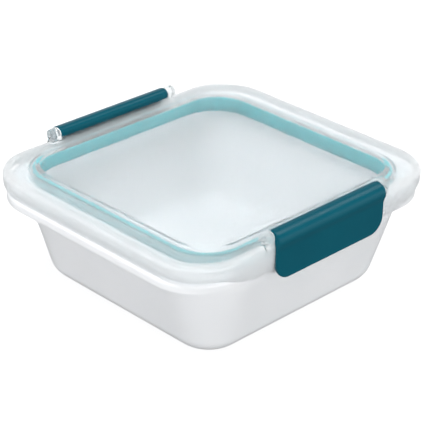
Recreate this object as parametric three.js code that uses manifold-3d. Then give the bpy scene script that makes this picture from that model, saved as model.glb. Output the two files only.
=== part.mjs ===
// Square food container with a drop-in sealing lid and two side latches.
// Millimetres, +Z up. The origin is the centre of the underside of the tub.
// X runs along the latches, the latches sit on the -Y and +Y sides.
import * as THREE from "three";
import { mergeVertices } from "three/addons/utils/BufferGeometryUtils.js";
import Module from "manifold-3d";

// ---------------------------------------------------------------- dimensions
const CORNER_STEPS = 8; // facets in each rounded plan corner
const SIDE_STEPS = 8; // facets along each straight side

// tub: half sizes of the outer wall at the underside, its draft and corner
const TUB = { hx: 67.1, hy: 65.8, r: 18.5, draft: 0.285, rDraft: 0.269 };
const TUB_WALL = 2.1;
const TUB_FLOOR = 2.0;
const TUB_FILLET = 9.6; // underside to wall
const RIM = { hx: 92.6, hy: 82.4, r: 30.0 }; // outer edge of the tub's rim
const RIM_TOP = 57.3;
const RIM_LOW = 50.9; // lower edge of the rim's turned-down lip
const RIM_THICK = 2.0;
const STRAIGHT = 46.0; // height above which the wall stands upright

// lid: bead round the sunk window, and the outer edge of the flange
const BEAD = { hx: 75.95, hy: 72.05, r: 21.5 };
const BEAD_TOP = 68.6;
const EDGE = { hx: 92.9, hy: 84.65, r: 29.7 };
const FLANGE_TOP = 67.4;
const FLANGE_THICK = 1.8;
const EDGE_ROUND = 3.2;
const SKIRT_LOW = 57.7; // bottom of the lid's turned-down edge
const SKIRT_DROP = 5.6; // how much deeper it hangs behind each latch
const SKIRT_DROP_FULL = 54.0; // |x| inside which it has its full depth
const SKIRT_DROP_NONE = 76.0; // |x| outside which it has none
const RIB = { hx: 79.7, hy: 75.8, r: 25.3 }; // keeps the silicone ring against the lid's plug
const RIB_WIDE = 1.2;
const RIB_LOW = 59.6;
const PANEL_TOP = 58.5; // sunk window
const PANEL_THICK = 1.7;

// hinge of each latch
const AXIS_Y = 81.7;
const AXIS_Z = 71.0;
const BAR_R = 1.6;
const EAR_IN = 40.8;
const EAR_OUT = 46.2;
const EAR_R = 3.6;

// latch
const LATCH_HALF = 40.3;
const LATCH_BORE = 1.9;
const LATCH_BARREL = 3.3;
const LATCH_IN = 3.35; // inner face of the plate, outward of the axis
const LATCH_OUT = 5.35; // outer face of the plate
const LATCH_LOW = -24.2; // lower edge of the plate, below the axis
const LATCH_CORNER = 9.0;
const HOOK_TIP = -0.5; // hook's tip, outward of the axis
const HOOK_TIP_Z = -21.9;
const HOOK_TOP_Z = -19.6; // where the hook's upper flank meets the plate
const HOOK_LOW_Z = -23.4;
const HOOK_HALF = 31.3; // half length of the hook, which stops short of the corners

// silicone ring
const RING_OUT = { hx: 77.6, hy: 73.7, r: 23.1 }; // outer face of the band round the lid's plug
const RING_LIP_OUT = { hx: 77.75, hy: 76.4, r: 28.4 }; // edge of the lip that wipes the tub's inner wall
const RING_TOP = 65.25;
const RING_LOW = 58.9; // foot of the band, where the lip starts
const RING_LIP = 55.4; // lowest point of the lip, inside the tub's mouth

// ---------------------------------------------------------------- helpers
const wasm = await Module();
wasm.setup();

const grow = (p, d) => ({ hx: p.hx + d, hy: p.hy + d, r: Math.max(p.r + d, 2) });
const at = (p, z, extra = {}) => ({ ...p, z, ...extra });

// Point i of n round a rounded rectangle: four arcs joined by stepped sides.
const ROUND = 4 * (CORNER_STEPS + SIDE_STEPS);
function outline(p, i) {
  const per = CORNER_STEPS + SIDE_STEPS;
  const q = Math.floor(i / per) % 4;
  const k = i % per;
  const cx = [1, -1, -1, 1];
  const cy = [1, 1, -1, -1];
  const arc = (quarter, step) => {
    const a = (quarter + step / CORNER_STEPS) * (Math.PI / 2);
    return [
      cx[quarter] * (p.hx - p.r) + p.r * Math.cos(a),
      cy[quarter] * (p.hy - p.r) + p.r * Math.sin(a),
    ];
  };
  if (k <= CORNER_STEPS) return arc(q, k);
  const [x0, y0] = arc(q, CORNER_STEPS);
  const [x1, y1] = arc((q + 1) % 4, 0);
  const t = (k - CORNER_STEPS) / SIDE_STEPS;
  return [x0 + (x1 - x0) * t, y0 + (y1 - y0) * t];
}

// A solid swept round the plan: a lathe whose turn is pulled out to rounded
// rectangles, one for each profile point. A point with hx 0 is on the centre.
function loft(profile, closed) {
  const pts = profile.map((p) => new THREE.Vector2(p.hx, p.z));
  if (closed) pts.push(pts[0].clone());
  const list = closed ? [...profile, profile[0]] : profile;
  const geometry = new THREE.LatheGeometry(pts, ROUND);
  const pos = geometry.attributes.position;
  for (let i = 0; i <= ROUND; i++) {
    for (let j = 0; j < list.length; j++) {
      const p = list[j];
      const [x, y] = p.hx > 0 ? outline(p, i % ROUND) : [0, 0];
      const z = p.lift ? p.z + p.lift(x, y, p) : p.z;
      pos.setXYZ(i * list.length + j, x, y, z);
    }
  }
  return solid(geometry);
}

// three.js geometry to a manifold solid, facing outward.
function solid(geometry, matrix) {
  let g = geometry.clone();
  if (matrix) g.applyMatrix4(matrix);
  g.deleteAttribute("normal");
  g.deleteAttribute("uv");
  g = mergeVertices(g, 1e-4);
  const v = g.attributes.position.array;
  const idx = g.index.array;
  const tri = [];
  for (let t = 0; t < idx.length; t += 3) {
    const [a, b, c] = [idx[t], idx[t + 1], idx[t + 2]];
    if (a !== b && b !== c && a !== c) tri.push(a, b, c);
  }
  let volume = 0;
  for (let t = 0; t < tri.length; t += 3) {
    const p = tri.slice(t, t + 3).map((n) => new THREE.Vector3(v[3 * n], v[3 * n + 1], v[3 * n + 2]));
    volume += p[0].dot(p[1].cross(p[2]));
  }
  if (volume < 0) for (let t = 0; t < tri.length; t += 3) [tri[t], tri[t + 1]] = [tri[t + 1], tri[t]];
  const mesh = new wasm.Mesh({
    numProp: 3,
    vertProperties: new Float32Array(v),
    triVerts: new Uint32Array(tri),
  });
  return new wasm.Manifold(mesh);
}

function toMesh(name, body, look) {
  const m = body.getMesh();
  const g = new THREE.BufferGeometry();
  const n = m.numProp;
  const xyz = new Float32Array((m.vertProperties.length / n) * 3);
  for (let i = 0; i < xyz.length / 3; i++) {
    for (let k = 0; k < 3; k++) xyz[3 * i + k] = m.vertProperties[n * i + k];
  }
  g.setAttribute("position", new THREE.BufferAttribute(xyz, 3));
  g.setIndex(new THREE.BufferAttribute(new Uint32Array(m.triVerts), 1));
  g.computeVertexNormals();
  const mesh = new THREE.Mesh(g, new THREE.MeshStandardMaterial(look));
  mesh.name = name;
  return mesh;
}

// Extrudes a polygon given as [outward, up] pairs from the hinge axis along X.
function alongX(points, x0, x1) {
  const shape = new THREE.Shape(points.map(([o, z]) => new THREE.Vector2(o, z)));
  const g = new THREE.ExtrudeGeometry(shape, { depth: x1 - x0, bevelEnabled: false, curveSegments: 8 });
  // shape x -> -Y (outward on the front side), shape y -> +Z, depth -> +X
  const m = new THREE.Matrix4().makeBasis(
    new THREE.Vector3(0, -1, 0),
    new THREE.Vector3(0, 0, 1),
    new THREE.Vector3(-1, 0, 0),
  );
  m.setPosition(x1, -AXIS_Y, AXIS_Z);
  return solid(g, m);
}

const arcPoints = (r, from, to, steps) =>
  Array.from({ length: steps + 1 }, (_, i) => {
    const a = THREE.MathUtils.degToRad(from + ((to - from) * i) / steps);
    return [r * Math.cos(a), r * Math.sin(a)];
  });

const halfTurn = (body) => {
  // the rear copy is the front one turned half way round Z
  const m = body.getMesh();
  const v = Float32Array.from(m.vertProperties);
  for (let i = 0; i < v.length; i += 3) {
    v[i] = -v[i];
    v[i + 1] = -v[i + 1];
  }
  return new wasm.Manifold(new wasm.Mesh({ numProp: 3, vertProperties: v, triVerts: m.triVerts }));
};

// ---------------------------------------------------------------- tub
const wallAt = (height) => {
  const z = Math.min(height, STRAIGHT);
  return { hx: TUB.hx + TUB.draft * z, hy: TUB.hy + TUB.draft * z, r: TUB.r + TUB.rDraft * z };
};
const fillet = (radius, z0, inset, steps) =>
  Array.from({ length: steps + 1 }, (_, i) => {
    const a = (Math.PI / 2) * (i / steps);
    const z = radius * (1 - Math.cos(a));
    return at(grow(wallAt(z0 + z), -inset - radius * (1 - Math.sin(a))), z0 + z);
  });

// Share of a point's direction that faces X: the rim's hollow underside is
// open on the X sides and closes up to a plain step on the latch sides.
const facesX = (x, y, p) => {
  const dx = Math.max(Math.abs(x) - (p.hx - p.r), 0);
  const dy = Math.max(Math.abs(y) - (p.hy - p.r), 0);
  return dx + dy > 0 ? (dx * dx) / (dx * dx + dy * dy) : 0;
};
const hollow = (x, y, p) => -(RIM_TOP - RIM_THICK - RIM_LOW - 0.15) * (1 - facesX(x, y, p));

const tubProfile = [
  at({ hx: 0, hy: 0, r: 0 }, 0),
  ...fillet(TUB_FILLET, 0, 0, 6),
  at(wallAt(30), 30),
  at(wallAt(STRAIGHT), STRAIGHT),
  at(wallAt(RIM_LOW), RIM_LOW),
  at({ hx: 81.2, hy: 79.9, r: 31.9 }, RIM_TOP - RIM_THICK, { lift: hollow }),
  at({ hx: 90.4, hy: 81.2, r: 29.6 }, RIM_TOP - RIM_THICK, { lift: hollow }),
  at({ hx: 90.5, hy: 81.4, r: 29.4 }, RIM_LOW),
  at(grow(RIM, -0.5), RIM_LOW),
  at(RIM, RIM_LOW + 0.5),
  at(RIM, RIM_TOP - 2.4),
  at(grow(RIM, -0.7), RIM_TOP - 0.75),
  at(grow(RIM, -2.3), RIM_TOP),
  at(grow(wallAt(RIM_TOP), 0.6 - TUB_WALL), RIM_TOP),
  at(grow(wallAt(RIM_TOP), -TUB_WALL), RIM_TOP - 0.6),
  at(grow(wallAt(STRAIGHT), -TUB_WALL), STRAIGHT),
  at(grow(wallAt(30), -TUB_WALL), 30),
  ...fillet(TUB_FILLET - TUB_FLOOR, TUB_FLOOR, TUB_WALL, 5).reverse(),
  at({ hx: 0, hy: 0, r: 0 }, TUB_FLOOR),
];
const tub = loft(tubProfile, false);

// ---------------------------------------------------------------- lid
const skirtDrop = (x, y, p) => {
  if (Math.abs(y) < p.hy - p.r) return 0;
  const t = THREE.MathUtils.clamp(
    (SKIRT_DROP_NONE - Math.abs(x)) / (SKIRT_DROP_NONE - SKIRT_DROP_FULL), 0, 1);
  return -SKIRT_DROP * t * t * (3 - 2 * t);
};
const edgeRound = (radius, out, top, steps) =>
  Array.from({ length: steps + 1 }, (_, i) => {
    const a = (Math.PI / 2) * (i / steps);
    return at(grow(EDGE, out - radius * (1 - Math.sin(a))), top - radius * (1 - Math.cos(a)));
  });

const lidProfile = [
  at({ hx: 0, hy: 0, r: 0 }, PANEL_TOP),
  at(grow(BEAD, -6.0), PANEL_TOP),
  at(grow(BEAD, -4.9), PANEL_TOP + 0.4),
  at(grow(BEAD, -4.4), PANEL_TOP + 1.4),
  at(grow(BEAD, -2.75), BEAD_TOP - 1.2),
  at(grow(BEAD, -2.35), BEAD_TOP - 0.4),
  at(grow(BEAD, -1.7), BEAD_TOP),
  at(grow(BEAD, -0.6), BEAD_TOP),
  at(grow(BEAD, 0), BEAD_TOP - 0.5),
  at(grow(BEAD, 0.25), FLANGE_TOP),
  ...edgeRound(EDGE_ROUND, 0, FLANGE_TOP, 4),
  at(grow(EDGE, -0.12), SKIRT_LOW + 2.9, { lift: skirtDrop }),
  at(grow(EDGE, -0.4), SKIRT_LOW + 1.6, { lift: skirtDrop }),
  at(grow(EDGE, -0.85), SKIRT_LOW + 0.65, { lift: skirtDrop }),
  at(grow(EDGE, -1.3), SKIRT_LOW + 0.1, { lift: skirtDrop }),
  at(grow(EDGE, -1.6), SKIRT_LOW + 0.05, { lift: skirtDrop }),
  at(grow(EDGE, -1.75), SKIRT_LOW + 0.4, { lift: skirtDrop }),
  ...edgeRound(0.6, -1.7, FLANGE_TOP - FLANGE_THICK, 1).reverse(),
  at(RIB, FLANGE_TOP - FLANGE_THICK),
  at(RIB, RIB_LOW),
  at(grow(RIB, -RIB_WIDE), RIB_LOW),
  at(grow(RIB, -RIB_WIDE), FLANGE_TOP - FLANGE_THICK),
  at({ hx: 75.1, hy: 71.2, r: 20.6 }, FLANGE_TOP - FLANGE_THICK),
  at({ hx: 73.25, hy: 69.35, r: 18.8 }, PANEL_TOP - 0.4),
  at({ hx: 72.3, hy: 68.4, r: 17.8 }, PANEL_TOP - PANEL_THICK),
  at({ hx: 0, hy: 0, r: 0 }, PANEL_TOP - PANEL_THICK),
];
const shell = loft(lidProfile, false);

// an ear at each end of the latch, rounded about the hinge axis
const earPoints = [
  ...arcPoints(EAR_R, 0, 180, 10),
  [-EAR_R - 0.5, FLANGE_TOP - AXIS_Z - 0.9],
  [2.2, FLANGE_TOP - AXIS_Z - 1.4],
  [EAR_R - 0.9, FLANGE_TOP - AXIS_Z - 2.6 + 0.6],
];
const ear = alongX(earPoints, EAR_IN, EAR_OUT).add(alongX(earPoints, -EAR_OUT, -EAR_IN));
const bar = alongX(arcPoints(BAR_R, 0, 345, 23), -EAR_IN - 1, EAR_IN + 1);
const hinge = ear.add(bar);
const lid = shell.add(hinge).add(halfTurn(hinge));

// ---------------------------------------------------------------- silicone ring
const legIn = (z) => {
  // follows the drafted outer face of the lid's plug, 0.35 mm off it
  const t = (z - (PANEL_TOP - 0.4)) / (FLANGE_TOP - FLANGE_THICK - (PANEL_TOP - 0.4));
  return { hx: 73.6 + 1.85 * t, hy: 69.7 + 1.85 * t, r: 19.15 + 1.8 * t };
};
const ringProfile = [
  at(legIn(59.2), 59.2),
  at(legIn(62.0), 62.0),
  at(legIn(64.8), 64.8),
  at(grow(legIn(65.25), 0.45), RING_TOP),
  at(grow(RING_OUT, -0.45), RING_TOP),
  at(RING_OUT, RING_TOP - 0.45),
  at(RING_OUT, RING_LOW),
  at({ hx: 77.7, hy: 75.2, r: 26.0 }, 57.9),
  at(RING_LIP_OUT, 56.4),
  at(grow(RING_LIP_OUT, -0.3), RING_LIP + 0.2),
  at(grow(RING_LIP_OUT, -1.3), RING_LIP),
  at({ hx: 75.4, hy: 73.2, r: 24.2 }, 57.0),
  at({ hx: 75.0, hy: 71.1, r: 20.5 }, 58.35),
];
const ring = loft(ringProfile, true);

// ---------------------------------------------------------------- latches
const latchPoints = [
  // outer face, from the open back of the barrel over the top to the foot
  ...arcPoints(LATCH_BARREL, 215, 95, 10),
  [1.6, 3.2], [3.1, 2.75], [4.5, 1.95], [5.6, 0.8], [6.25, -0.5], [6.55, -1.7],
  [6.6, -2.6], [6.4, -3.7], [6.0, -4.8], [5.65, -5.8], [LATCH_OUT + 0.07, -6.9], [LATCH_OUT, -8.2],
  [LATCH_OUT, LATCH_LOW + 0.8], [LATCH_OUT - 0.5, LATCH_LOW],
  [LATCH_IN + 0.4, LATCH_LOW], [LATCH_IN, LATCH_LOW + 0.4],
  // inner face, back up to the open lower lip of the barrel
  [LATCH_IN, -4.6], [3.0, -3.6], [2.45, -2.75],
  ...arcPoints(LATCH_BARREL, -60, -52, 1),
  ...arcPoints(LATCH_BORE, -52, 215, 20),
];
const latchBlank = alongX(latchPoints, -LATCH_HALF, LATCH_HALF);

// outline of the latch seen from outside: lower corners rounded
const face = new THREE.Shape();
const top = LATCH_BARREL + 1;
face.moveTo(-LATCH_HALF - 1, top);
face.lineTo(-LATCH_HALF - 1, -3.5);
face.lineTo(-LATCH_HALF, -4.2);
face.lineTo(-LATCH_HALF, LATCH_LOW + LATCH_CORNER);
face.absarc(-LATCH_HALF + LATCH_CORNER, LATCH_LOW + LATCH_CORNER, LATCH_CORNER, Math.PI, 1.5 * Math.PI, false);
face.lineTo(LATCH_HALF - LATCH_CORNER, LATCH_LOW);
face.absarc(LATCH_HALF - LATCH_CORNER, LATCH_LOW + LATCH_CORNER, LATCH_CORNER, 1.5 * Math.PI, 2 * Math.PI, false);
face.lineTo(LATCH_HALF, -4.2);
face.lineTo(LATCH_HALF + 1, -3.5);
face.lineTo(LATCH_HALF + 1, top);
const faceGeometry = new THREE.ExtrudeGeometry(face, { depth: 30, bevelEnabled: false, curveSegments: 6 });
const faceMatrix = new THREE.Matrix4().makeBasis(
  new THREE.Vector3(1, 0, 0),
  new THREE.Vector3(0, 0, 1),
  new THREE.Vector3(0, -1, 0),
);
faceMatrix.setPosition(0, -AXIS_Y + 12, AXIS_Z);
// hook: a bead along the inside of the plate that catches under the tub's rim
const hookPoints = [
  [LATCH_IN + 0.5, HOOK_TOP_Z + 0.2], [LATCH_IN, HOOK_TOP_Z], [0.8, HOOK_TOP_Z - 0.95],
  [HOOK_TIP + 0.15, HOOK_TIP_Z + 0.45], [HOOK_TIP, HOOK_TIP_Z], [HOOK_TIP + 0.35, HOOK_TIP_Z - 0.35],
  [LATCH_IN, HOOK_LOW_Z], [LATCH_IN + 0.5, HOOK_LOW_Z - 0.1],
];
const hook = alongX(hookPoints, -HOOK_HALF, HOOK_HALF);
const frontLatch = latchBlank.intersect(solid(faceGeometry, faceMatrix)).add(hook);
const rearLatch = halfTurn(frontLatch);

// ---------------------------------------------------------------- assembly
const white = { color: 0xf4f4f4, roughness: 0.35, metalness: 0 };
const frosted = { color: 0xdfe8ec, roughness: 0.45, metalness: 0, transparent: true, opacity: 0.5 };
const aqua = { color: 0x86c6d0, roughness: 0.6, metalness: 0 };
const teal = { color: 0x00566a, roughness: 0.4, metalness: 0 };

const container = new THREE.Group();
container.add(toMesh("base_tub", tub, white));
const lidGroup = new THREE.Group();
lidGroup.add(toMesh("lid_shell", lid, frosted));
lidGroup.add(toMesh("seal_ring", ring, aqua));
lidGroup.add(toMesh("front_latch", frontLatch, teal));
lidGroup.add(toMesh("rear_latch", rearLatch, teal));
container.add(lidGroup);

export default container;
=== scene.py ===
# Snap lid food container: fine surfaces, materials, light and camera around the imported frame.
import math

import bpy
import bmesh
import numpy as np
from mathutils import Matrix, Vector


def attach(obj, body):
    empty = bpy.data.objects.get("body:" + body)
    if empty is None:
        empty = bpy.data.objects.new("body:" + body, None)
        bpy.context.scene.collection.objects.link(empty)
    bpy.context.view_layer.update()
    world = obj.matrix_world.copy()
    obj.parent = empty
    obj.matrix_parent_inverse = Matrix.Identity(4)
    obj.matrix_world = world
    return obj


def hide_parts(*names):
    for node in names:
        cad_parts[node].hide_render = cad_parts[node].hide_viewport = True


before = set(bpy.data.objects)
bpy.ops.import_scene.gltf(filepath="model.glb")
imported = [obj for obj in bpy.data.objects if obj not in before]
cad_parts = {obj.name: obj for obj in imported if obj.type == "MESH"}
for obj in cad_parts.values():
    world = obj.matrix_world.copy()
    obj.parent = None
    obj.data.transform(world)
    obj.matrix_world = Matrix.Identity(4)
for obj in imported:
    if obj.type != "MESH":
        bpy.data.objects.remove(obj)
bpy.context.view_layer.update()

MM = 0.001
ARC_STEPS = 22    # facets in each rounded plan corner
SIDE_STEPS = 14   # facets along each straight side

# ------------------------------------------------------------------ dimensions, mm (as in the CAD)
TUB = dict(hx=67.1, hy=65.8, r=18.5, draft=0.285, rdraft=0.269)
TUB_WALL, TUB_FLOOR, TUB_FILLET, STRAIGHT = 2.1, 2.0, 9.6, 46.0
RIM = (92.6, 82.4, 30.0)
RIM_TOP, RIM_LOW, RIM_THICK = 57.3, 50.9, 2.0
BEAD = (75.95, 72.05, 21.5)
BEAD_TOP = 68.6
EDGE = (92.9, 84.65, 29.7)
FLANGE_TOP, FLANGE_THICK, EDGE_ROUND = 67.4, 1.8, 3.2
SKIRT_LOW, SKIRT_DROP, DROP_FULL, DROP_NONE = 57.7, 5.6, 54.0, 76.0
RIB = (79.7, 75.8, 25.3)
RIB_WIDE, RIB_LOW = 1.2, 59.6
PANEL_TOP, PANEL_THICK = 58.5, 1.7
AXIS_Y, AXIS_Z = 81.7, 71.0
BAR_R, EAR_IN, EAR_OUT, EAR_R = 1.6, 40.8, 46.2, 3.6
LATCH_HALF, LATCH_BORE, LATCH_BARREL = 40.3, 1.9, 3.3
LATCH_IN, LATCH_OUT, LATCH_LOW, LATCH_CORNER = 3.35, 5.35, -24.2, 9.0
HOOK_TIP, HOOK_TIP_Z, HOOK_TOP_Z, HOOK_LOW_Z, HOOK_HALF = -0.5, -21.9, -19.6, -23.4, 31.3
RING_OUT, RING_LIP_OUT = (77.6, 73.7, 23.1), (77.75, 76.4, 28.4)
RING_TOP, RING_LOW, RING_LIP = 65.25, 58.9, 55.4


# ------------------------------------------------------------------ shape helpers
def grow(p, d):
    return (p[0] + d, p[1] + d, max(p[2] + d, 2.0))


def at(p, z, fillet=0.0, drop=0.0):
    """A profile corner: plan half sizes and corner radius, height, rounding and how far it follows the drop."""
    return (p[0], p[1], p[2], z, drop, fillet)


def rounded(corners, closed):
    """Rounds each corner of a profile with a curve, and keeps a point close to each end of it."""
    c = np.array(corners, float)
    n = len(c)
    out = []
    for i in range(n):
        p, f = c[i, :5], c[i, 5]
        if f <= 0 or (not closed and i in (0, n - 1)):
            out.append(p)
            continue
        a, b = c[i - 1, :5], c[(i + 1) % n, :5]
        la = max(np.hypot(a[0] - p[0], a[3] - p[3]), 1e-6)
        lb = max(np.hypot(b[0] - p[0], b[3] - p[3]), 1e-6)
        pa = p + (a - p) * min(f / la, 0.49 if c[i - 1, 5] > 0 else 0.97)
        pb = p + (b - p) * min(f / lb, 0.49 if c[(i + 1) % n, 5] > 0 else 0.97)
        steps = 4 if f < 0.6 else 6 if f < 2 else 9
        for t in np.linspace(0, 1, steps + 1):
            out.append((1 - t) ** 2 * pa + 2 * t * (1 - t) * p + t * t * pb)
    return np.array(out)


def ring_points(hx, hy, r):
    """Points round a rounded rectangle, for arrays of sizes: (points, profile)."""
    cx, cy = (1, -1, -1, 1), (1, 1, -1, -1)
    xs, ys = [], []

    def corner(q, k):
        a = (q + k / ARC_STEPS) * math.pi / 2
        return cx[q] * (hx - r) + r * math.cos(a), cy[q] * (hy - r) + r * math.sin(a)

    for q in range(4):
        for k in range(ARC_STEPS + 1):
            x, y = corner(q, k)
            xs.append(x)
            ys.append(y)
        x0, y0 = corner(q, ARC_STEPS)
        x1, y1 = corner((q + 1) % 4, 0)
        for k in range(1, SIDE_STEPS):
            t = k / SIDE_STEPS
            xs.append(x0 + (x1 - x0) * t)
            ys.append(y0 + (y1 - y0) * t)
    return np.array(xs), np.array(ys)


def new_object(name, verts, faces):
    mesh = bpy.data.meshes.new(name)
    mesh.from_pydata([tuple(v) for v in np.asarray(verts) * MM], [], faces)
    mesh.validate()
    bm = bmesh.new()
    bm.from_mesh(mesh)
    bmesh.ops.remove_doubles(bm, verts=bm.verts, dist=1e-7)
    bmesh.ops.recalc_face_normals(bm, faces=bm.faces)
    bm.to_mesh(mesh)
    bm.free()
    obj = bpy.data.objects.new(name, mesh)
    bpy.context.scene.collection.objects.link(obj)
    return obj


def sweep(name, corners, closed=False, lift=None):
    """Sweeps a profile round the plan. An open profile starts and ends on the centre line."""
    p = rounded(corners, closed)
    hx, hy, r, z, drop = p.T
    x, y = ring_points(hx, hy, np.minimum(r, np.minimum(hx, hy)))
    zz = np.broadcast_to(z, x.shape).copy()
    if lift is not None:
        zz = zz + lift(x, y, hx, hy, r, drop)
    rounds, n = x.shape
    verts = np.stack([x, y, zz], -1).reshape(-1, 3)
    faces = []
    for i in range(rounds):
        j = (i + 1) % rounds
        for k in range(n if closed else n - 1):
            m = (k + 1) % n
            quad = (i * n + k, i * n + m, j * n + m, j * n + k)
            if hx[k] == 0:
                quad = (i * n + k, i * n + m, j * n + m)
            elif hx[m] == 0:
                quad = (i * n + k, i * n + m, j * n + k)
            faces.append(quad)
    return new_object(name, verts, faces)


def smooth_curve(points, steps=4):
    """A smooth curve through the points (centripetal spacing isn't needed: they are even)."""
    p = np.array(points, float)
    q = np.vstack([2 * p[0] - p[1], p, 2 * p[-1] - p[-2]])
    out = []
    for i in range(1, len(q) - 2):
        for t in np.arange(steps) / steps:
            a, b, c, d = q[i - 1], q[i], q[i + 1], q[i + 2]
            out.append(0.5 * (2 * b + (c - a) * t + (2 * a - 5 * b + 4 * c - d) * t * t + (3 * b - 3 * c + d - a) * t ** 3))
    out.append(p[-1])
    return [tuple(v) for v in out]


def arc(r, a0, a1, n, centre=(0.0, 0.0)):
    return [(centre[0] + r * math.cos(math.radians(a0 + (a1 - a0) * i / n)),
             centre[1] + r * math.sin(math.radians(a0 + (a1 - a0) * i / n))) for i in range(n + 1)]


def round_poly(points):
    """(o, z, fillet) corners of a closed outline to a smooth closed outline."""
    c = np.array([(p[0], p[1], p[2] if len(p) > 2 else 0.0) for p in points], float)
    out = []
    for i in range(len(c)):
        p, f = c[i, :2], c[i, 2]
        a, b = c[i - 1, :2], c[(i + 1) % len(c), :2]
        if f <= 0:
            out.append(tuple(p))
            continue
        la, lb = np.linalg.norm(a - p), np.linalg.norm(b - p)
        pa = p + (a - p) * min(f / la, 0.49)
        pb = p + (b - p) * min(f / lb, 0.49)
        for t in np.linspace(0, 1, 6):
            out.append(tuple((1 - t) ** 2 * pa + 2 * t * (1 - t) * p + t * t * pb))
    return out


def inset(outline, d):
    """Moves a closed outline inward by d."""
    p = np.array(outline, float)
    area = 0.5 * np.sum(p[:, 0] * np.roll(p[:, 1], -1) - np.roll(p[:, 0], -1) * p[:, 1])
    e = np.roll(p, -1, 0) - p
    e /= np.maximum(np.linalg.norm(e, axis=1), 1e-9)[:, None]
    nrm = np.stack([-e[:, 1], e[:, 0]], 1) * (1 if area > 0 else -1)
    v = nrm + np.roll(nrm, 1, 0)
    v /= np.maximum(np.linalg.norm(v, axis=1), 1e-9)[:, None]
    return p + v * d


def extrude_x(name, outline, stations, side=-1, shape=None, close=0.0):
    """Extrudes an (outward, up) outline, measured from the hinge axis, through (x, inset) stations.
    side -1 is the front, +1 the rear. shape(o, z, x) may move the points of a station."""
    verts, faces = [], []
    n = len(outline)
    for x, d in stations:
        p = inset(outline, d) if d else np.array(outline, float)
        if shape is not None:
            p = shape(p.copy(), x)
        for o, z in p:
            verts.append((x, side * (AXIS_Y + o), AXIS_Z + z))
    m = len(stations)
    for i in range(m - 1):
        for k in range(n):
            j = (k + 1) % n
            faces.append((i * n + k, i * n + j, (i + 1) * n + j, (i + 1) * n + k))
    faces.append(tuple(range(n)))
    faces.append(tuple((m - 1) * n + k for k in range(n))[::-1])
    return new_object(name, verts, faces)


def end_rounding(x0, x1, e, steps=4):
    """(x, inset) stations of a bar from x0 to x1 whose ends are rounded by e."""
    s = [(x0 + e * (1 - math.cos(a)), e * (1 - math.sin(a))) for a in np.linspace(0, math.pi / 2, steps + 1)]
    t = [(x1 - e * (1 - math.cos(a)), e * (1 - math.sin(a))) for a in np.linspace(math.pi / 2, 0, steps + 1)]
    return s + t


def boolean(obj, other, operation="UNION"):
    """Joins or cuts two closed meshes, applies it and removes the other object."""
    before = len(obj.data.polygons)
    mod = obj.modifiers.new("cut", "BOOLEAN")
    mod.operation, mod.solver, mod.object = operation, "MANIFOLD", other
    mesh = bpy.data.meshes.new_from_object(obj.evaluated_get(bpy.context.evaluated_depsgraph_get()))
    obj.modifiers.remove(mod)
    if len(mesh.polygons) < before * 0.5:
        raise RuntimeError(f"the boolean on {obj.name} lost its faces")
    old = obj.data
    obj.data = mesh
    bpy.data.meshes.remove(old)
    bpy.data.objects.remove(other)
    return obj


def finish_surface(obj, sharp=42.0):
    """Smooth shading with true corners kept, weighted so that flat faces stay flat."""
    mesh = obj.data
    mesh.shade_smooth()
    mesh.set_sharp_from_angle(angle=math.radians(sharp))
    mod = obj.modifiers.new("weighted normals", "WEIGHTED_NORMAL")
    mod.keep_sharp = True
    mod.weight = 60
    return obj


# ------------------------------------------------------------------ tub
def wall(z):
    z = min(z, STRAIGHT)
    return (TUB["hx"] + TUB["draft"] * z, TUB["hy"] + TUB["draft"] * z, TUB["r"] + TUB["rdraft"] * z)


def faces_x(x, y, hx, hy, r):
    dx = np.maximum(np.abs(x) - (hx - r), 0)
    dy = np.maximum(np.abs(y) - (hy - r), 0)
    s = dx * dx + dy * dy
    return np.where(s > 0, dx * dx / np.maximum(s, 1e-9), 0)


def tub_lift(x, y, hx, hy, r, drop):
    return -drop * (RIM_TOP - RIM_THICK - RIM_LOW - 0.15) * (1 - faces_x(x, y, hx, hy, r))


def fillet_run(radius, z0, in_by, steps, drop=0.0):
    run = []
    for i in range(steps + 1):
        a = math.pi / 2 * i / steps
        z = radius * (1 - math.cos(a))
        run.append(at(grow(wall(z0 + z), -in_by - radius * (1 - math.sin(a))), z0 + z))
    return run


foot = grow(wall(0), -TUB_FILLET)
tub_corners = [
    at((0, 0, 0), 0.45),
    at((3.0, 3.0, 2.9), 0.45),
    at(grow(foot, -5.2), 0.45, 0.5),
    at(grow(foot, -4.2), 0.0, 0.5),
    at(grow(foot, -1.5), 0.0),
    *fillet_run(TUB_FILLET, 0, 0, 14),
    at(wall(20), 20), at(wall(34), 34),
    at(wall(STRAIGHT), STRAIGHT, 3.0),
    at(wall(49.5), 49.5),
    at(wall(RIM_LOW), RIM_LOW + 0.2),
    at((81.2, 79.9, 31.9), RIM_TOP - RIM_THICK, 0.9, 1.0),
    at((90.4, 81.2, 29.6), RIM_TOP - RIM_THICK, 0.8, 1.0),
    at((90.5, 81.4, 29.4), RIM_LOW, 0.35),
    at(RIM, RIM_LOW, 0.8),
    at(grow(RIM, -0.02), RIM_TOP - 3.6),
    at(RIM, RIM_TOP, 3.3),
    at(grow(wall(RIM_TOP), 2.6 - TUB_WALL), RIM_TOP),
    at(grow(wall(RIM_TOP), -TUB_WALL), RIM_TOP, 0.9),
    at(grow(wall(STRAIGHT), -TUB_WALL), STRAIGHT, 3.0),
    at(grow(wall(34), -TUB_WALL), 34), at(grow(wall(20), -TUB_WALL), 20),
    *fillet_run(TUB_FILLET - TUB_FLOOR, TUB_FLOOR, TUB_WALL, 12)[::-1],
    at(grow(foot, -4.0), TUB_FLOOR),
    at((30.0, 29.0, 12.0), TUB_FLOOR),
    at((3.0, 3.0, 2.9), TUB_FLOOR),
    at((0, 0, 0), TUB_FLOOR),
]
tub = finish_surface(sweep("tub", tub_corners, lift=tub_lift))


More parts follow.
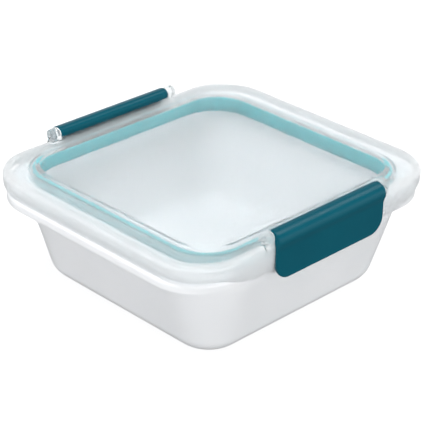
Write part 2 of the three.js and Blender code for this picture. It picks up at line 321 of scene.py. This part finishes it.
# ------------------------------------------------------------------ lid
def lid_lift(x, y, hx, hy, r, drop):
    t = np.clip((DROP_NONE - np.abs(x)) / (DROP_NONE - DROP_FULL), 0, 1)
    on_side = np.abs(y) >= (hy - r)
    return -drop * SKIRT_DROP * np.where(on_side, t * t * (3 - 2 * t), 0)


under = FLANGE_TOP - FLANGE_THICK
lid_corners = [
    at((0, 0, 0), PANEL_TOP),
    at((3.0, 3.0, 2.9), PANEL_TOP),
    at((40.0, 38.0, 10.0), PANEL_TOP),
    at(grow(BEAD, -8.0), PANEL_TOP),
    at(grow(BEAD, -4.55), PANEL_TOP, 1.9),
    at(grow(BEAD, -2.75), BEAD_TOP - 1.6),
    at(grow(BEAD, -2.45), BEAD_TOP, 0.85),
    at(grow(BEAD, 0.0), BEAD_TOP, 0.75),
    at(grow(BEAD, 0.1), FLANGE_TOP, 0.55),
    at(grow(BEAD, 2.0), FLANGE_TOP),
    at(grow(EDGE, -5.0), FLANGE_TOP),
    at(grow(EDGE, -EDGE_ROUND - 0.9), FLANGE_TOP),
    at(EDGE, FLANGE_TOP, EDGE_ROUND),
    at(grow(EDGE, -0.06), SKIRT_LOW + 4.2, 0.0, 0.7),
    at(grow(EDGE, -0.15), SKIRT_LOW + 2.9, 0.0, 1.0),
    at(grow(EDGE, -0.4), SKIRT_LOW + 1.6, 0.0, 1.0),
    at(grow(EDGE, -0.68), SKIRT_LOW + 0.95, 0.0, 1.0),
    at(grow(EDGE, -1.0), SKIRT_LOW + 0.55, 0.0, 1.0),
    at(grow(EDGE, -1.4), SKIRT_LOW + 0.3, 0.0, 1.0),
    at(grow(EDGE, -1.72), SKIRT_LOW + 0.35, 0.15, 1.0),
    at(grow(EDGE, -1.75), SKIRT_LOW + 0.8, 0.0, 1.0),
    at(grow(EDGE, -1.75), SKIRT_LOW + 4.2, 0.0, 0.7),
    at(grow(EDGE, -1.75), under, 0.55),
    at(grow(EDGE, -5.0), under),
    at(RIB, under, 0.45),
    at(RIB, RIB_LOW, 0.58),
    at(grow(RIB, -RIB_WIDE), RIB_LOW, 0.58),
    at(grow(RIB, -RIB_WIDE), under, 0.45),
    at((75.1, 71.2, 20.6), under, 0.7),
    at((73.3, 69.4, 18.85), PANEL_TOP - 0.2, 0.0),
    at((72.75, 68.85, 18.3), PANEL_TOP - PANEL_THICK, 1.4),
    at((66.0, 62.0, 12.0), PANEL_TOP - PANEL_THICK),
    at((40.0, 38.0, 10.0), PANEL_TOP - PANEL_THICK),
    at((3.0, 3.0, 2.9), PANEL_TOP - PANEL_THICK),
    at((0, 0, 0), PANEL_TOP - PANEL_THICK),
]
lid = sweep("lid", lid_corners, lift=lid_lift)

# ears that hold each latch's bar, and the bars, moulded in one with the lid
ear_low = FLANGE_TOP - AXIS_Z
ear_outline = round_poly(
    [(p[0], p[1], 0) for p in arc(EAR_R, -2, 178, 22)]
    + [(-EAR_R - 0.05, ear_low + 0.9, 0.5), (-EAR_R - 0.9, ear_low - 0.25, 0.3), (-EAR_R - 0.6, ear_low - 0.9, 0),
       (2.3, ear_low - 1.5, 0), (EAR_R - 0.95, ear_low - 2.0, 0.3)]
)
for side in (-1, 1):
    for s in (-1, 1):
        x0, x1 = sorted((s * EAR_IN, s * EAR_OUT))
        boolean(lid, extrude_x("ear", ear_outline, end_rounding(x0, x1, 0.7), side))
    boolean(lid, extrude_x("bar", arc(BAR_R, 0, 350, 35), [(-EAR_IN - 1.2, 0), (EAR_IN + 1.2, 0)], side))
finish_surface(lid, 38.0)


# ------------------------------------------------------------------ silicone ring
def leg(z):
    t = (z - (PANEL_TOP - 0.4)) / (under - (PANEL_TOP - 0.4))
    return (73.62 + 1.85 * t, 69.72 + 1.85 * t, 19.17 + 1.8 * t)


ring_corners = [
    at(leg(59.2), 59.2, 0.3),
    at(leg(62.0), 62.0),
    at(leg(RING_TOP), RING_TOP, 0.55),
    at(RING_OUT, RING_TOP, 0.6),
    at(RING_OUT, 62.0),
    at(RING_OUT, RING_LOW, 0.8),
    at((77.7, 75.2, 26.0), 57.9),
    at(RING_LIP_OUT, 56.4, 0.5),
    at(grow(RING_LIP_OUT, -0.3), RING_LIP + 0.1, 0.4),
    at(grow(RING_LIP_OUT, -1.3), RING_LIP, 0.3),
    at((75.4, 73.2, 24.2), 57.0, 0.4),
    at((75.0, 71.1, 20.5), 58.35, 0.3),
]
ring = finish_surface(sweep("seal", ring_corners, closed=True), 60.0)

# ------------------------------------------------------------------ latches
latch_outline = (
    round_poly([(p[0], p[1], 0) for p in arc(LATCH_BARREL, 212, 100, 26)])
    + smooth_curve([arc(LATCH_BARREL, 95, 95, 1)[0], (1.6, 3.2), (3.1, 2.75), (4.5, 1.95), (5.6, 0.8), (6.25, -0.5), (6.55, -1.7),
                    (6.58, -2.7), (6.4, -3.7), (6.02, -4.8), (5.66, -5.8), (5.42, -6.9), (LATCH_OUT, -8.2)], 4)
    + round_poly([(LATCH_OUT, -10.0, 0), (LATCH_OUT, -14.0, 0), (LATCH_OUT, -18.0, 0), (LATCH_OUT, -22.6, 0), (LATCH_OUT, LATCH_LOW, 0.85),
                  (LATCH_IN, LATCH_LOW, 0.6), (LATCH_IN, -22.6, 0), (LATCH_IN, -12.0, 0)])
    + smooth_curve([(LATCH_IN, -4.9), (3.22, -4.1), (2.85, -3.3), (2.45, -2.75)], 3)
    + round_poly([(LATCH_BARREL * math.cos(math.radians(-56)), LATCH_BARREL * math.sin(math.radians(-56)), 0),
                  ((LATCH_BORE + 0.5) * math.cos(math.radians(-60)), (LATCH_BORE + 0.5) * math.sin(math.radians(-60)), 0)])
    + arc(LATCH_BORE, -52, 212, 40)
    + [((LATCH_BORE + LATCH_BARREL) / 2 * math.cos(math.radians(217)), (LATCH_BORE + LATCH_BARREL) / 2 * math.sin(math.radians(217)))]
)


def latch_shape(p, x):
    """Rounds the plate's lower corners: the foot rises near each end."""
    d = abs(x) - (LATCH_HALF - LATCH_CORNER)
    if d <= 0:
        return p
    rise = LATCH_CORNER - math.sqrt(max(LATCH_CORNER ** 2 - d * d, 0))
    f = np.clip((-6.0 - p[:, 1]) / (-6.0 - (LATCH_LOW + 1.2)), 0, 1)
    p[:, 1] += rise * f
    return p


def latch_stations():
    s = []
    for a in np.linspace(90, 0, 19):
        x = LATCH_HALF - LATCH_CORNER + LATCH_CORNER * math.sin(math.radians(a))
        d = LATCH_HALF - x
        e = 0.3
        s.append((x, e - math.sqrt(max(e * e - (e - d) ** 2, 0)) if d < e else 0.0))
    right = s[::-1]
    middle = [(x, 0.0) for x in np.linspace(-(LATCH_HALF - LATCH_CORNER), LATCH_HALF - LATCH_CORNER, 9)[1:-1]]
    left = [(-x, d) for x, d in s]
    return left + middle + right


hook_outline = round_poly([
    (LATCH_IN + 0.7, HOOK_TOP_Z + 0.25, 0), (LATCH_IN - 0.1, HOOK_TOP_Z - 0.05, 0.3), (0.8, HOOK_TOP_Z - 0.95, 0.4),
    (HOOK_TIP, HOOK_TIP_Z + 0.35, 0.35), (HOOK_TIP + 0.1, HOOK_TIP_Z - 0.3, 0.3), (LATCH_IN - 0.1, HOOK_LOW_Z, 0.3), (LATCH_IN + 0.7, HOOK_LOW_Z - 0.1, 0),
])


def latch(name, side):
    body = extrude_x(name, latch_outline, latch_stations(), side, latch_shape)
    boolean(body, extrude_x("hook", hook_outline, end_rounding(-HOOK_HALF, HOOK_HALF, 0.6), side))
    return finish_surface(body, 40.0)


front = latch("latch_front", -1)
rear = latch("latch_rear", 1)


# ------------------------------------------------------------------ materials
def material(name):
    m = bpy.data.materials.new(name)
    m.use_nodes = True
    nt = m.node_tree
    bsdf = nt.nodes["Principled BSDF"]
    return m, nt, bsdf


def noise(nt, scale, detail=3.0, rough=0.5):
    coord = nt.nodes.get("coord") or nt.nodes.new("ShaderNodeTexCoord")
    coord.name = "coord"
    n = nt.nodes.new("ShaderNodeTexNoise")
    n.inputs["Scale"].default_value = scale
    n.inputs["Detail"].default_value = detail
    n.inputs["Roughness"].default_value = rough
    nt.links.new(coord.outputs["Object"], n.inputs["Vector"])
    return n.outputs["Fac"]


def ramp(nt, fac, low, high, at_low=0.35, at_high=0.65):
    r = nt.nodes.new("ShaderNodeValToRGB")
    r.color_ramp.elements[0].position, r.color_ramp.elements[1].position = at_low, at_high
    r.color_ramp.elements[0].color = (*low, 1)
    r.color_ramp.elements[1].color = (*high, 1)
    nt.links.new(fac, r.inputs["Fac"])
    return r.outputs["Color"]


def spread(nt, fac, low, high):
    r = nt.nodes.new("ShaderNodeMapRange")
    r.inputs["From Min"].default_value, r.inputs["From Max"].default_value = 0.3, 0.7
    r.inputs["To Min"].default_value, r.inputs["To Max"].default_value = low, high
    nt.links.new(fac, r.inputs["Value"])
    return r.outputs["Result"]


def bump(nt, bsdf, layers):
    """layers: (height output, strength, distance in metres), the last one on top."""
    last = None
    for height, strength, distance in layers:
        b = nt.nodes.new("ShaderNodeBump")
        b.inputs["Strength"].default_value = strength
        b.inputs["Distance"].default_value = distance
        nt.links.new(height, b.inputs["Height"])
        if last is not None:
            nt.links.new(last, b.inputs["Normal"])
        last = b.outputs["Normal"]
    nt.links.new(last, bsdf.inputs["Normal"])


def opaque_plastic(name, low, high, rough, grain, strength, ior=1.5, sss=0.0, spec=0.5):
    m, nt, bsdf = material(name)
    nt.links.new(ramp(nt, noise(nt, 38.0, 4.0), low, high), bsdf.inputs["Base Color"])
    nt.links.new(spread(nt, noise(nt, 95.0, 3.0), *rough), bsdf.inputs["Roughness"])
    bsdf.inputs["IOR"].default_value = ior
    bsdf.inputs["Specular IOR Level"].default_value = spec
    if sss:
        bsdf.inputs["Subsurface Weight"].default_value = sss
        bsdf.inputs["Subsurface Radius"].default_value = (1.0, 0.95, 0.9)
        bsdf.inputs["Subsurface Scale"].default_value = 0.0025
    bump(nt, bsdf, [(noise(nt, 14.0, 2.0), 0.10, 0.0006), (noise(nt, grain, 2.0), strength, 0.00012)])
    return m


def frosted_plastic(name, transmission, clear_colour, rough, low=(0.925, 0.935, 0.94), high=(0.945, 0.95, 0.955), ior=1.12):
    m, nt, bsdf = material(name)
    nt.links.new(ramp(nt, noise(nt, 30.0, 3.0), low, high), bsdf.inputs["Base Color"])
    nt.links.new(spread(nt, noise(nt, 60.0, 2.0), *rough), bsdf.inputs["Roughness"])
    bsdf.inputs["Transmission Weight"].default_value = transmission
    bsdf.inputs["IOR"].default_value = ior
    bump(nt, bsdf, [(noise(nt, 16.0, 2.0), 0.025, 0.0003), (noise(nt, 420.0, 2.0), 0.012, 0.0001)])
    # rays from lamps pass through, softened, so that the inside is lit
    out = nt.nodes["Material Output"]
    mix = nt.nodes.new("ShaderNodeMixShader")
    clear = nt.nodes.new("ShaderNodeBsdfTransparent")
    clear.inputs["Color"].default_value = (*clear_colour, 1)
    path = nt.nodes.new("ShaderNodeLightPath")
    nt.links.new(path.outputs["Is Shadow Ray"], mix.inputs["Fac"])
    nt.links.new(bsdf.outputs["BSDF"], mix.inputs[1])
    nt.links.new(clear.outputs["BSDF"], mix.inputs[2])
    nt.links.new(mix.outputs["Shader"], out.inputs["Surface"])
    return m


white = opaque_plastic("white_plastic", (0.80, 0.815, 0.825), (0.835, 0.845, 0.855), (0.28, 0.36), 1100.0, 0.10, sss=0.12)
aqua = opaque_plastic("aqua_silicone", (0.01, 0.37, 0.405), (0.015, 0.395, 0.43), (0.50, 0.60), 1700.0, 0.16, ior=1.42)
teal = opaque_plastic("teal_plastic", (0.0, 0.078, 0.112), (0.0, 0.084, 0.119), (0.31, 0.39), 1300.0, 0.34, ior=1.48, spec=0.12)
frosted = frosted_plastic("frosted_plastic", 0.88, (0.70, 0.72, 0.73), (0.14, 0.17), ior=1.14)
milky = frosted_plastic("frosted_plastic_edge", 0.50, (0.20, 0.205, 0.21), (0.24, 0.30), (0.83, 0.845, 0.85), (0.85, 0.865, 0.87), 1.25)
hazy = frosted_plastic("frosted_plastic_flange", 0.80, (0.84, 0.85, 0.855), (0.20, 0.26), (0.87, 0.89, 0.895), (0.89, 0.91, 0.915), 1.28)


for obj, look, body, node, slot in (
    (tub, white, "base", "base_tub", "white_plastic"),
    (lid, frosted, "lid", "lid_shell", "frosted_plastic"),
    (ring, aqua, "lid", "seal_ring", "aqua_silicone"),
    (front, teal, "front_latch", "front_latch", "teal_plastic"),
    (rear, teal, "rear_latch", "rear_latch", "teal_plastic"),
):
    obj.data.materials.clear()
    obj.data.materials.append(look)
    if obj is lid:
        obj.data.materials.append(milky)
        obj.data.materials.append(hazy)
        for poly in obj.data.polygons:
            x, y, z = (c / MM for c in poly.center)
            qx, qy = abs(x) - (EDGE[0] - EDGE[2]), abs(y) - (EDGE[1] - EDGE[2])
            outward = math.hypot(max(qx, 0), max(qy, 0)) + min(max(qx, qy), 0) - EDGE[2]
            on_top = abs(z - FLANGE_TOP) < 0.02 and poly.normal.z > 0.5 and outward > -17.5
            on_ear = z > FLANGE_TOP + 0.02 and abs(y) > BEAD[1] + 2.0
            poly.material_index = 2 if on_ear or (on_top and outward <= -5.0) else 1 if outward > -5.0 else 0
    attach(obj, body)
    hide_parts(node)

# ------------------------------------------------------------------ floor, light, camera
floor_mesh = bpy.data.meshes.new("floor")
floor_mesh.from_pydata([(-6, -6, 0), (6, -6, 0), (6, 6, 0), (-6, 6, 0)], [], [(0, 1, 2, 3)])
floor = bpy.data.objects.new("floor", floor_mesh)
floor.location.z = -0.0002
bpy.context.scene.collection.objects.link(floor)
fm, fnt, fb = material("floor_white")
fb.inputs["Base Color"].default_value = (0.36, 0.36, 0.36, 1)
fb.inputs["Roughness"].default_value = 0.9
fb.inputs["Specular IOR Level"].default_value = 0.0
fb.inputs["Emission Color"].default_value = (1, 1, 1, 1)
fb.inputs["Emission Strength"].default_value = 0.82
floor.data.materials.append(fm)
floor.visible_diffuse = False
floor.visible_glossy = False

# a soft studio dome: its lower half stands for the light that a pale floor sends back up
DOME = ((-1.0, (0.12, 0.12, 0.122)), (-0.34, (0.26, 0.26, 0.262)), (0.12, (2.12, 2.15, 2.19)), (0.46, (0.25, 0.25, 0.255)), (1.0, (0.14, 0.14, 0.14)))
world = bpy.data.worlds.new("studio")
world.use_nodes = True
wnt = world.node_tree
wcoord = wnt.nodes.new("ShaderNodeTexCoord")
wsep = wnt.nodes.new("ShaderNodeSeparateXYZ")
wramp = wnt.nodes.new("ShaderNodeValToRGB")
wmap = wnt.nodes.new("ShaderNodeMapRange")
wmap.inputs["From Min"].default_value, wmap.inputs["From Max"].default_value = -1.0, 1.0
while len(wramp.color_ramp.elements) < len(DOME):
    wramp.color_ramp.elements.new(0.5)
for stop, (height, colour) in zip(wramp.color_ramp.elements, DOME):
    stop.position = (height + 1) / 2
for stop, (height, colour) in zip(wramp.color_ramp.elements, DOME):
    stop.color = (*colour, 1)
wnt.links.new(wcoord.outputs["Generated"], wsep.inputs["Vector"])
wnt.links.new(wsep.outputs["Z"], wmap.inputs["Value"])
wnt.links.new(wmap.outputs["Result"], wramp.inputs["Fac"])
wnt.links.new(wramp.outputs["Color"], wnt.nodes["Background"].inputs["Color"])
bpy.context.scene.world = world


def area(name, at_xyz, aim, size, watts, colour=(1, 1, 1)):
    light = bpy.data.lights.new(name, "AREA")
    light.shape = "RECTANGLE"
    light.size, light.size_y = size
    light.energy = watts
    light.color = colour
    obj = bpy.data.objects.new(name, light)
    obj.location = at_xyz
    obj.rotation_euler = (Vector(aim) - Vector(at_xyz)).to_track_quat("-Z", "Y").to_euler()
    bpy.context.scene.collection.objects.link(obj)
    return obj


area("left_key", (-0.42, 0.0, 1.51), (0, 0, 0.04), (0.5, 0.5), 16.5)
area("right_box", (0.90, -0.14, 1.08), (0, 0, 0.04), (0.45, 0.45), 4.4)
area("left_fill", (-1.40, 0.10, 0.04), (0, 0, 0.03), (0.8, 0.06), 4.4)
area("front_fill", (-0.1, -1.42, 0.12), (0, 0, 0.03), (0.9, 0.2), 6.0)

AZ, EL, ROLL, DIST = -45.077, 28.280, 1.169, 0.900
a, e, roll = map(math.radians, (AZ, EL, ROLL))
back = Vector((math.sin(a) * math.cos(e), -math.cos(a) * math.cos(e), math.sin(e)))
right = (-back).cross(Vector((0, 0, 1))).normalized()
up = right.cross(-back)
r_axis = right * math.cos(roll) + up * math.sin(roll)
u_axis = -right * math.sin(roll) + up * math.cos(roll)
cam = bpy.data.cameras.new("camera")
cam.sensor_width = 36.0
cam.lens = 36.0 * 1628.32 / 423.0
cam.shift_x = -0.0006
cam.shift_y = 14.07 / 423.0
cam.clip_start, cam.clip_end = 0.05, 30.0
cam_obj = bpy.data.objects.new("camera", cam)
pos = Vector((0, 0, 0.030)) + back * DIST
cam_obj.matrix_world = Matrix((
    (r_axis.x, u_axis.x, back.x, pos.x),
    (r_axis.y, u_axis.y, back.y, pos.y),
    (r_axis.z, u_axis.z, back.z, pos.z),
    (0, 0, 0, 1),
))
bpy.context.scene.collection.objects.link(cam_obj)
bpy.context.scene.camera = cam_obj

sc = bpy.context.scene
sc.view_settings.view_transform = "Standard"
sc.cycles.use_denoising = True
sc.cycles.denoising_input_passes = "RGB"
sc.cycles.max_bounces = 14
sc.cycles.transmission_bounces = 12
sc.cycles.diffuse_bounces = 6
sc.cycles.transparent_max_bounces = 12
sc.cycles.sample_clamp_indirect = 6.0
